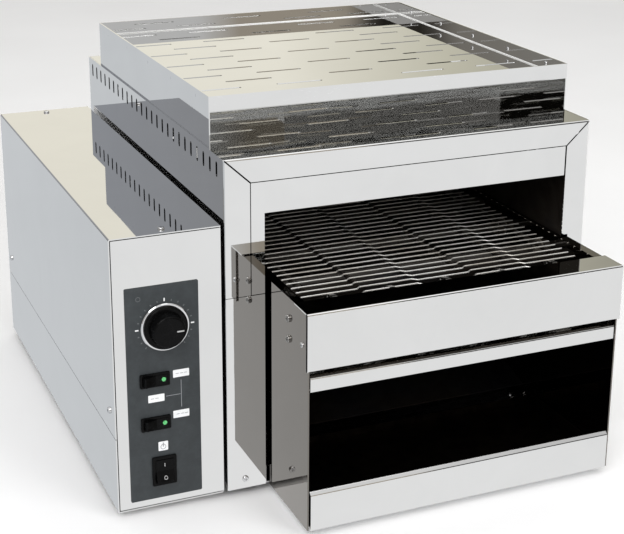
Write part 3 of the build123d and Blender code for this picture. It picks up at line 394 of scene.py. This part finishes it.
def rubber(name):
    """Dusty black rubber."""
    look = Shader(name)
    dust = look.noise(0.004, 5, 0.7)
    look.colour(look.colours(dust, (0.35, (0.018, 0.018, 0.018)), (0.7, (0.055, 0.053, 0.05))))
    look.rough(look.ramp(dust, 0.3, 0.7, 0.6, 0.85))
    look.bump(look.noise(0.0007, 3, 0.6), 0.00004, 0.6)
    return look.material


def painted(name, tone):
    """Baked enamel with orange peel."""
    look = Shader(name)
    look.set(Coat_Weight=0.6, Coat_Roughness=0.14)
    cloud = look.noise(0.02, 3, 0.5)
    look.colour(look.colours(cloud, (0.3, darker(tone, 0.85)), (0.7, tone)))
    look.rough(look.ramp(cloud, 0.3, 0.7, 0.34, 0.44))
    look.bump(look.noise(0.0016, 2, 0.5), 0.00003, 0.6)
    return look.material


def quartz(name, tone, clear):
    """Quartz tube with fine draw lines; clear is how much light goes through."""
    look = Shader(name)
    look.set(Transmission_Weight=clear, IOR=1.46)
    lines = look.noise(0.0012, 3, 0.6, stretch=(0.03, 1, 1))
    look.colour(look.colours(lines, (0.3, darker(tone, 0.85)), (0.7, tone)))
    look.rough(look.ramp(lines, 0.3, 0.7, 0.28, 0.14))
    look.bump(lines, 0.00002, 0.5)
    return look.material


def ceramic(name):
    """Steatite cap with a fine grain, toned dark brown as painted shade."""
    look = Shader(name)
    grain = look.noise(0.0015, 4, 0.6)
    # painted shade: dark browns in place of the white steatite
    look.colour(look.colours(grain, (0.3, (0.06, 0.05, 0.04)), (0.7, (0.15, 0.13, 0.105))))
    look.rough(look.ramp(grain, 0.3, 0.7, 0.5, 0.7))
    look.bump(grain, 0.00003, 0.6)
    return look.material


def lens(name, tone):
    """Coloured lens lit from behind, with a faceted inside."""
    look = Shader(name)
    look.set(Transmission_Weight=0.25, IOR=1.49, Emission_Strength=0.15)
    facets = look.cells(0.0006)
    pale = tuple(min(1, channel * 1.9 + 0.06) for channel in tone)
    shade = look.colours(facets, (0.05, pale), (0.6, tone))
    look.colour(shade)
    look.link(shade, look.bsdf.inputs["Emission Color"])
    look.rough(look.ramp(facets, 0, 0.7, 0.12, 0.2))
    look.bump(facets, 0.00002, 0.4)
    return look.material


def circuit_board(name):
    """Green board with lighter copper tracks under the lacquer."""
    look = Shader(name)
    look.set(Coat_Weight=0.5, Coat_Roughness=0.15)
    bricks = look.add("ShaderNodeTexBrick", offset=0.37)
    bricks.inputs["Scale"].default_value = 95
    bricks.inputs["Mortar Size"].default_value = 0.045
    bricks.inputs["Color1"].default_value = (0.012, 0.09, 0.04, 1)
    bricks.inputs["Color2"].default_value = (0.016, 0.11, 0.05, 1)
    bricks.inputs["Mortar"].default_value = (0.06, 0.26, 0.12, 1)
    turn = look.add("ShaderNodeMapping")
    turn.inputs["Rotation"].default_value = (0, math.radians(90), 0)
    look.link(look.place, turn.inputs["Vector"])
    look.link(turn.outputs[0], bricks.inputs["Vector"])
    look.colour(bricks.outputs["Color"])
    look.rough(look.ramp(look.noise(0.01, 3), 0.3, 0.7, 0.3, 0.42))
    look.bump(bricks.outputs["Fac"], 0.00003, 0.5)
    return look.material


def printed(name, tone):
    """Screen print: opaque ink with slightly uneven gloss."""
    look = Shader(name)
    ink = look.noise(0.0014, 4, 0.6)
    look.colour(look.colours(ink, (0.3, darker(tone, 0.9)), (0.7, tone)))
    look.rough(look.ramp(ink, 0.3, 0.7, 0.45, 0.56))
    look.bump(ink, 0.000008, 0.5)
    return look.material


def heating_wire(name):
    """Resistance wire, brown with scale."""
    look = Shader(name)
    look.set(Metallic=1.0)
    scale = look.noise(0.001, 4, 0.6)
    look.colour(look.colours(scale, (0.3, (0.16, 0.10, 0.07)), (0.7, (0.34, 0.27, 0.22))))
    look.rough(look.ramp(scale, 0.3, 0.7, 0.35, 0.55))
    look.bump(scale, 0.00002, 0.5)
    return look.material


SLOT_MATERIALS = {
    "polished_steel": lambda: mirror_steel("mirror_steel"),
    # painted shade: the side plates' mirror steel is toned dark brown
    "frame_steel": lambda: mirror_steel("frame_steel", PAINTED_FRAME_SHADE),
    "plain_steel": lambda: brushed_steel("satin_steel", (0.55, 0.55, 0.555)),
    "inner_steel": lambda: shaded_baked_steel("shaded_baked_steel"),
    "belt_wire": lambda: wire_steel("belt_wire"),
    "shaft_steel": lambda: turned_steel("turned_steel"),
    "chain_steel": lambda: oiled_chain("oiled_chain"),
    "screw_steel": lambda: screw_steel("screw_steel"),
    "quartz": lambda: quartz("quartz", (0.96, 0.955, 0.94), 0.75),
    "white_ceramic": lambda: ceramic("ceramic"),
    "black_rubber": lambda: rubber("rubber"),
    "motor_paint": lambda: painted("motor_paint", (0.03, 0.032, 0.036)),
    "overlay_grey": lambda: moulded("overlay", (0.034, 0.039, 0.042), 0.42, 0.0003, 0.000008, shine=0.24),
    "black_plastic": lambda: moulded("black_plastic", (0.002, 0.002, 0.0021), 0.22, shine=0.09),
    "green_lens": lambda: lens("green_lens", (0.10, 0.50, 0.16)),
    "bright_ring": lambda: mirror_steel("bright_ring", (0.74, 0.74, 0.75), 0.1, 0.05),
    "board_green": lambda: circuit_board("circuit_board"),
    "terminal_white": lambda: moulded("terminal_white", (0.62, 0.60, 0.55), 0.45),
    "pot_metal": lambda: turned_steel("pot_metal", (0.6, 0.57, 0.47)),
}
NODE_MATERIALS = {
    "collector_tray": lambda: tray_steel("tray_steel"),
    "front_cover": lambda: cover_steel("cover_steel"),
    # painted shade: the lower tubes under the belt are near-black quartz
    "lower_heating_tubes": lambda: quartz("shaded_quartz", PAINTED_SHADE_TONE, 0.1),
    # painted shade: the bearing bolts get a darker copy of the screw steel
    "bearing_bolts": lambda: screw_steel("shaded_screw_steel", (0.33, 0.32, 0.31)),
}


def dress_nodes():
    """Every CAD node gets its own material if it has one, or else the material of its slot."""
    made = {slot: make() for slot, make in SLOT_MATERIALS.items()}
    for part in frame["record"]["subparts"]:
        node = frame["nodes"][part["node"]]
        own = NODE_MATERIALS.get(part["node"])
        material = own() if own else made[part["material_slot"]]
        if not node.material_slots:
            node.data.materials.append(material)
        for slot in node.material_slots:
            slot.material = material


# ---- printed marks on the controls ----------------------------------------------------------
PRINT_THICKNESS = 0.00012
STROKE_THICKNESS = 0.0002       # strokes that lie on a plate
POINTER_THICKNESS = 0.0003
PRINT_SINK = 0.00002            # how far a mark reaches into the face under it
RAY_START = 0.01                # how far in front of the face its places are sought from
CORNER_STEPS = 4


def surface(node):
    """The node's surface, for laying thin marks on it."""
    mesh = frame["nodes"][node].data
    points = [vertex.co.copy() for vertex in mesh.vertices]
    return BVHTree.FromPolygons(points, [polygon.vertices[:] for polygon in mesh.polygons])


def laid(name, outlines, node, material, body, slot, thickness=PRINT_THICKNESS):
    """Flat outlines in X and Z, laid from the front on the node's face, with a small thickness."""
    solid = bmesh.new()
    ground = surface(node)
    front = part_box(node)[0][1]
    for outline in outlines:
        near, far = [], []
        for x, z in outline:
            hit = ground.ray_cast(Vector((x, front - RAY_START, z)), Vector((0, 1, 0)))[0]
            y = hit.y if hit else front
            near.append(solid.verts.new((x, y - thickness, z)))
            far.append(solid.verts.new((x, y + PRINT_SINK, z)))
        solid.faces.new(near)
        solid.faces.new(far[::-1])
        for index in range(len(near)):
            after = (index + 1) % len(near)
            solid.faces.new((near[index], far[index], far[after], near[after]))
    bmesh.ops.recalc_face_normals(solid, faces=solid.faces)
    mesh = bpy.data.meshes.new(name)
    solid.to_mesh(mesh)
    solid.free()
    mesh.materials.append(material)
    piece = put_in_scene(name, mesh)
    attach(piece, body)


def oblong(x, z, width, height, corner=0.0):
    """Outline of a rectangle centred on (x, z), with round corners if they have a radius."""
    half_width, half_height = width / 2 - corner, height / 2 - corner
    points = []
    for quarter, (side, end) in enumerate(((1, 1), (-1, 1), (-1, -1), (1, -1))):
        for step in range(CORNER_STEPS + 1 if corner else 1):
            angle = math.radians(90 * quarter + 90 * step / CORNER_STEPS)
            points.append((x + side * half_width + corner * math.cos(angle),
                           z + end * half_height + corner * math.sin(angle)))
    return points


def spoke(x, z, degrees, inner, outer, width):
    """A short bar that points away from (x, z)."""
    angle = math.radians(degrees)
    along = Vector((math.cos(angle), math.sin(angle)))
    across = Vector((-math.sin(angle), math.cos(angle))) * width / 2
    centre = Vector((x, z))
    corners = (centre + along * inner - across, centre + along * outer - across,
               centre + along * outer + across, centre + along * inner + across)
    return [tuple(corner) for corner in corners]


def ring_parts(x, z, radius, width, steps=32):
    """A ring as short four-sided pieces."""
    inner, outer = radius - width / 2, radius + width / 2
    parts = []
    for step in range(steps):
        start, end = 2 * math.pi * step / steps, 2 * math.pi * (step + 1) / steps
        corners = ((inner, start), (outer, start), (outer, end), (inner, end))
        parts.append([(x + out * math.cos(angle), z + out * math.sin(angle)) for out, angle in corners])
    return parts


SCALE_FROM = 225                # degrees, half past seven on a clock face
SCALE_STEP = 15
SCALE_MARKS = 19
QUARTER_MARK = (0.0018, 0.0052, 0.0014)         # from and to outside the dial's ring, and width
SCALE_MARK = (0.0020, 0.0038, 0.0009)
LABEL = (0.0166, 0.0080, 0.0006)                # width, height and the corners' radius
LABEL_STROKE = (0.0032, 0.0006)
UPRIGHT_LINE = (0.0005, 0.0292)
LEVEL_LINE = (0.0150, 0.0005)
MAINS_PLATE = (0.010, 0.010, 0.0008)
MAINS_BAR = (0.0009, 0.0045)
MAINS_RING = (0.0026, 0.0006)                   # radius and the line's width
SPEED_RING = (0.0022, 0.0004)
SMALL_RING_STEPS = 20
# The overlay's lower left corner and the middles of the marks, in millimetres on the box front.
OVERLAY_CORNER = (13.5, 9.0)
LABELS_AT = ((68.5, 142.2), (42.5, 119.2), (67.8, 98.2))
HEAT_STROKES_AT = (64.5, 69.0, 73.0)            # across the upper and the lower label
MAIN_STROKES_AT = (38.5, 43.0)                  # across the middle one
UPRIGHT_LINE_AT = (68.3, 120.3)
LEVEL_LINE_AT = (60.0, 119.7)
MAINS_PLATE_AT = (48.2, 66)
MAINS_BAR_AT = (48.2, 67.4)
MAINS_RING_AT = (48.2, 65.2)
SPEED_RING_AT = (27, 226)
MAIN_ON_BAR = (0.0007, 0.0036)
MAIN_OFF_RING = (0.0016, 0.0005)
ON_BAR_UP = 0.27                                # from the rocker's middle, in rocker heights
OFF_RING_DOWN = 0.25
POINTER = (0.0072, 0.0015, 0.0004)
POINTER_OUT = 0.0107                            # from the knob's axis to the pointer line's middle


def control_marks():
    """The dial's scale, and the plates, strokes and signs round the switches."""
    white = printed("white_print", (0.78, 0.79, 0.80))
    grey = printed("grey_print", (0.30, 0.31, 0.33))
    dim = printed("dim_print", (0.13, 0.14, 0.145))
    pale = printed("pale_plate", (0.84, 0.85, 0.86))

    def on_overlay(name, outlines, ink, *thickness):
        laid(name, outlines, "control_overlay", ink, "root", "terminal_white", *thickness)

    low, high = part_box("knob_ring")
    x, z = (low[0] + high[0]) / 2, (low[2] + high[2]) / 2
    radius = (high[0] - low[0]) / 2

    def round_dial(angles, start, end, width):
        return [spoke(x, z, angle, radius + start, radius + end, width) for angle in angles]

    angles = [SCALE_FROM - SCALE_STEP * number for number in range(SCALE_MARKS)]
    quarters = [angle for angle in angles if angle % 90 == 0]
    between = [angle for angle in angles if angle % 90]
    on_overlay("dial_quarter_marks", round_dial(quarters, *QUARTER_MARK), white)
    on_overlay("dial_scale", round_dial(between, *SCALE_MARK), dim)

    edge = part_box("control_overlay")
    left, foot = edge[0][0] - OVERLAY_CORNER[0] * MM, edge[0][2] - OVERLAY_CORNER[1] * MM

    def at(across, up):
        return left + across * MM, foot + up * MM

    on_overlay("label_plates", [oblong(*at(*centre), *LABEL) for centre in LABELS_AT], pale)
    lines = [oblong(*at(*UPRIGHT_LINE_AT), *UPRIGHT_LINE), oblong(*at(*LEVEL_LINE_AT), *LEVEL_LINE)]
    on_overlay("guide_lines", lines, grey)
    upper, middle, lower = [up for _, up in LABELS_AT]
    places = [(across, up) for up in (upper, lower) for across in HEAT_STROKES_AT]
    places += [(across, middle) for across in MAIN_STROKES_AT]
    strokes = [oblong(*at(*centre), *LABEL_STROKE) for centre in places]
    on_overlay("label_strokes", strokes, grey, STROKE_THICKNESS)
    on_overlay("mains_plate", [oblong(*at(*MAINS_PLATE_AT), *MAINS_PLATE)], pale)
    mains_bar = [oblong(*at(*MAINS_BAR_AT), *MAINS_BAR)]
    mains_ring = ring_parts(*at(*MAINS_RING_AT), *MAINS_RING, SMALL_RING_STEPS)
    on_overlay("mains_mark", mains_bar + mains_ring, grey, STROKE_THICKNESS)
    on_overlay("speed_mark", ring_parts(*at(*SPEED_RING_AT), *SPEED_RING, SMALL_RING_STEPS), dim)


def rocker_marks():
    """The bar and the ring on the main rocker, and the knob's pointer line."""
    white = printed("rocker_print", (0.45, 0.45, 0.45))
    low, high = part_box("main_rocker")
    x, z, height = (low[0] + high[0]) / 2, (low[2] + high[2]) / 2, high[2] - low[2]
    on_bar = [oblong(x, z + height * ON_BAR_UP, *MAIN_ON_BAR)]
    off_ring = ring_parts(x, z - height * OFF_RING_DOWN, *MAIN_OFF_RING)
    laid("main_on_mark", on_bar, "main_rocker", white, "main_switch", "terminal_white")
    laid("main_off_mark", off_ring, "main_rocker", white, "main_switch", "terminal_white")
    low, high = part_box("speed_knob")
    x, z = (low[0] + high[0]) / 2, (low[2] + high[2]) / 2
    pointer = [oblong(x + POINTER_OUT, z, *POINTER)]
    laid("knob_pointer_line", pointer, "speed_knob", white, "knob", "terminal_white", POINTER_THICKNESS)


# ---- heating coils inside the tubes -----------------------------------------------------------
COIL_TURNS = 60
COIL_STEPS = 12                 # points in one turn
COIL_RADIUS = 0.0024
COIL_WIRE = 0.00035             # the wire's radius
COIL_END = 0.02                 # from the end of the tubes to the coil


def tubes_in(node):
    """Y of each tube, from the clusters of the node's vertices, then the Z and the ends' X of all."""
    low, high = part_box(node)
    radius = (high[2] - low[2]) / 2
    reach = 3 * radius
    all_y = [vertex.co.y for vertex in frame["nodes"][node].data.vertices]
    seeds = []
    for y in all_y:
        if not any(abs(y - seed) < reach for seed in seeds):
            seeds.append(y)
    rows = []
    for seed in seeds:
        cluster = [y for y in all_y if abs(y - seed) < reach]
        rows.append((min(cluster) + max(cluster)) / 2)
    return rows, (low[2] + high[2]) / 2, low[0], high[0]


def round_wire(name, radius, resolution):
    """An empty curve that will show its lines as round wire."""
    curve = bpy.data.curves.new(name, "CURVE")
    curve.dimensions, curve.bevel_depth, curve.bevel_resolution = "3D", radius, resolution
    return curve


def heating_coils(node, name, material):
    """A wire spiral in each tube."""
    rows, z, left, right = tubes_in(node)
    start, length = left + COIL_END, right - left - 2 * COIL_END
    curve = round_wire(name, COIL_WIRE, 2)
    for y in rows:
        line = curve.splines.new("POLY")
        line.points.add(COIL_TURNS * COIL_STEPS)
        for index, point in enumerate(line.points):
            angle = 2 * math.pi * index / COIL_STEPS
            x = start + length * index / (COIL_TURNS * COIL_STEPS)
            point.co = (x, y + COIL_RADIUS * math.cos(angle), z + COIL_RADIUS * math.sin(angle), 1)
    curve.materials.append(material)
    coil = put_in_scene(name, curve)
    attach(coil, "root")


# ---- rack --------------------------------------------------------------------------------------
SHELF_SHEET = 0.001
BEAD_RADIUS = 0.001


def rack_highlight_bead():
    """Round bead in the corner between the shelf and its upturned left, back and right edges, pale as a
    painted highlight along the corner.
    """
    low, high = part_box("rack_shelf")
    left, right = low[0] + SHELF_SHEET, high[0] - SHELF_SHEET
    back, front = high[1] - SHELF_SHEET, low[1] + BEAD_RADIUS
    curve = round_wire("rack_highlight_bead", BEAD_RADIUS, 3)
    line = curve.splines.new("POLY")
    route = ((left, front), (left, back), (right, back), (right, front))
    line.points.add(len(route) - 1)
    for point, (x, y) in zip(line.points, route):
        point.co = (x, y, low[2] + SHELF_SHEET + BEAD_RADIUS / 4, 1)
    # painted highlight: the bead's pale, matt finish
    curve.materials.append(highlight_bead_finish("painted_highlight_bead"))
    bead = put_in_scene("rack_highlight_bead", curve)
    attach(bead, "root")


# ---- studio -----------------------------------------------------------------------------------
FLOOR = ((-12, -12), (12, -12), (12, 12), (-12, 12))
CARD_HEIGHT = 0.002
FRONT_CARD = ((-0.27, -0.215), (-1.2, -1.8), (1.5, -1.8), (0.9, -0.215))
LEFT_CARD = ((-0.268, -0.21), (-0.268, 0.35), (-0.40, 1.6), (-0.55, 2.4), (-3, 2.4), (-3, -1.8),
             (-1.2, -1.8))
# Tones of the walls from the left, 0, to the right, 1. In the photo's view the object's tops mirror
# the wall behind it, and its fronts mirror the floor and its cards.
BACK_WALL = ((0.0, (0.55, 0.56, 0.58)), (0.262, (0.24, 0.225, 0.20)), (0.272, (0.03, 0.027, 0.022)),
             (0.298, (0.03, 0.027, 0.022)), (0.312, (0.33, 0.335, 0.35)), (0.38, (0.37, 0.385, 0.42)),
             (0.47, (0.42, 0.42, 0.41)), (0.56, (0.93, 0.895, 0.78)), (0.68, (0.93, 0.90, 0.79)),
             (0.735, (0.60, 0.58, 0.47)), (0.80, (0.27, 0.26, 0.22)), (1.0, (0.45, 0.45, 0.45)))
FRONT_WALL = ((0.0, (0.42, 0.40, 0.38)), (0.6, (0.70, 0.70, 0.70)), (0.655, (0.70, 0.70, 0.70)),
              (0.668, (0.42, 0.375, 0.31)), (0.702, (0.42, 0.375, 0.31)), (0.712, (0.02, 0.018, 0.015)),
              (0.77, (0.02, 0.018, 0.015)), (0.80, (0.24, 0.22, 0.19)), (1.0, (0.5, 0.49, 0.47)))
CEILING = (0.82, 0.82, 0.82)


def flat_sheet(name, outline, height):
    """A level sheet with this outline in X and Y."""
    mesh = bpy.data.meshes.new(name)
    mesh.from_pydata([(x, y, height) for x, y in outline], [], [tuple(range(len(outline)))])
    return put_in_scene(name, mesh)


def make_floor():
    """Pale paper."""
    floor = flat_sheet("studio_floor", FLOOR, 0)
    look = Shader("floor")
    paper = look.noise(0.4, 3, 0.5)
    look.colour(look.colours(paper, (0.3, (0.90, 0.90, 0.905)), (0.7, (0.93, 0.93, 0.935))))
    look.rough(look.ramp(paper, 0.3, 0.7, 0.75, 0.85))
    floor.data.materials.append(look.material)


def make_card(name, outline, tone):
    """A glowing sheet just over the floor; only polished metal mirrors it, and gets an even tone."""
    card = flat_sheet(name, outline, CARD_HEIGHT)
    look = Shader(name)
    look.set(Emission_Strength=1.0, Base_Color=(0, 0, 0, 1), Specular_IOR_Level=0.0)
    felt = look.noise(0.5, 3, 0.5)
    glow = look.colours(felt, (0.3, darker(tone, 0.96)), (0.7, tone))
    look.link(glow, look.bsdf.inputs["Emission Color"])
    card.data.materials.append(look.material)
    card.visible_camera = card.visible_diffuse = card.visible_shadow = False
    card.visible_transmission = card.visible_volume_scatter = False


def make_light(name, at, target, size, power, mirrored=True):
    """A rectangular lamp; one that isn't mirrored leaves no highlight on the metal."""
    data = bpy.data.lights.new(name, "AREA")
    data.shape, data.size, data.size_y = "RECTANGLE", size[0], size[1]
    data.energy = power
    light = put_in_scene(name, data)
    light.location = at
    light.visible_glossy = mirrored
    light.rotation_euler = (Vector(target) - Vector(at)).to_track_quat("-Z", "Y").to_euler()


def make_world():
    """A studio room: banded walls behind and in front of the object, and a pale ceiling."""
    world = bpy.data.worlds.new("studio")
    world.use_nodes = True
    bpy.context.scene.world = world
    room = Nodes(world.node_tree)
    out = room.add("ShaderNodeOutputWorld")
    background = room.add("ShaderNodeBackground")
    room.link(background.outputs[0], out.inputs[0])
    x, y, z = room.split(room.add("ShaderNodeTexCoord").outputs["Generated"])
    rightward, backward, upward = room.ramp(x, -1, 1), room.ramp(y, -0.1, 0.5), room.ramp(z, 0.5, 0.85)
    in_front, behind = room.colours(rightward, *FRONT_WALL), room.colours(rightward, *BACK_WALL)
    walls = room.mix(backward, in_front, behind)
    room.link(room.mix(upward, walls, CEILING), background.inputs[0])


make_camera()
bpy.context.scene.view_settings.view_transform = "Standard"
bpy.context.scene.cycles.glossy_bounces = 12
make_world()
make_floor()
make_light("key", at=(-1.6, -2.2, 2.6), target=(0, 0, 0.1), size=(1.8, 1.8), power=45)
make_light("front_fill", at=(1.2, -2.6, 1.6), target=(0.1, -0.9, 0), size=(1.6, 1.2), power=38,
           mirrored=False)
make_light("top", at=(0.2, 0.3, 2.8), target=(0, 0, 0), size=(3.2, 3.2), power=18)
make_card("front_card", FRONT_CARD, (0.975, 0.98, 0.985))
make_card("left_card", LEFT_CARD, (0.66, 0.685, 0.71))
dress_nodes()
control_marks()
rocker_marks()
rack_highlight_bead()
coil_wire = heating_wire("heating_wire")
heating_coils("upper_heating_tubes", "upper_heating_coils", coil_wire)
heating_coils("lower_heating_tubes", "lower_heating_coils", coil_wire)
